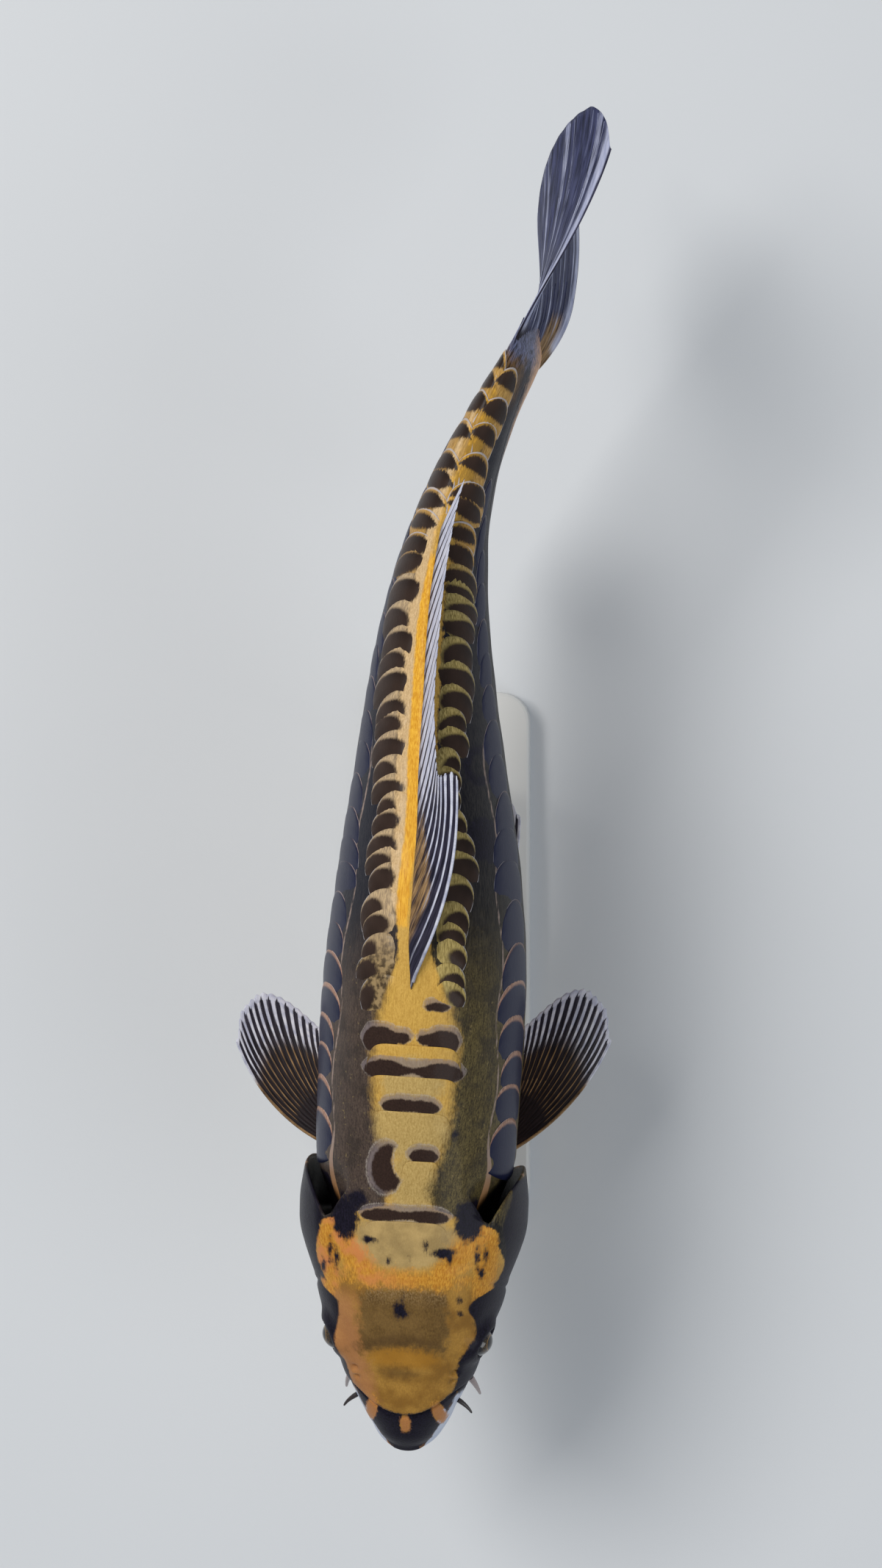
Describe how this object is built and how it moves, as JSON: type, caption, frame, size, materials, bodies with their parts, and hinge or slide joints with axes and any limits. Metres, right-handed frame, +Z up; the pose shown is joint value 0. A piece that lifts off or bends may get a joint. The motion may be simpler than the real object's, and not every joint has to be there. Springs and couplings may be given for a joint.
{
  "type": "koi carp",
  "caption": "Life-size still model of a scaleless-strain koi carp gliding with its tail swept to one side, held over a flat display base on short rods.",
  "frame": {"origin": "middle of the display base's underside", "axes": "+Z up; the snout points along -Y and the tail along +Y; the fish's left side is +X"},
  "size_m": [0.1765, 0.5825, 0.2354],
  "materials": {
    "skin": "smooth wet skin, dark olive with a gold back and large mirror scales",
    "lip": "soft wet lip skin, black and pale orange",
    "gill_cover": "smooth skin over a thin bone plate",
    "eye": "glossy dark eye",
    "fin": "thin membrane on branching rays, dark with pale ray tips",
    "rod_steel": "brushed rod with a turned foot",
    "base_enamel": "satin off-white enamel"
  },
  "bodies": {
    "root": {"head": "skin", "lower_jaw": "lip", "upper_lip": "lip", "gill_cover_left": "gill_cover", "gill_cover_right": "gill_cover", "eye_left": "eye", "eye_right": "eye", "barbel_upper_left": "lip", "barbel_upper_right": "lip", "barbel_corner_left": "lip", "barbel_corner_right": "lip", "trunk_front": "skin", "trunk_rear": "skin", "tail_stalk": "skin", "dorsal_fin": "fin", "caudal_fin_upper": "fin", "caudal_fin_lower": "fin", "anal_fin": "fin", "pectoral_fin_left": "fin", "pectoral_fin_right": "fin", "pelvic_fin_left": "fin", "pelvic_fin_right": "fin", "stand_base": "base_enamel", "stand_rod_front": "rod_steel", "stand_rod_rear": "rod_steel"}
  },
  "joints": []
}
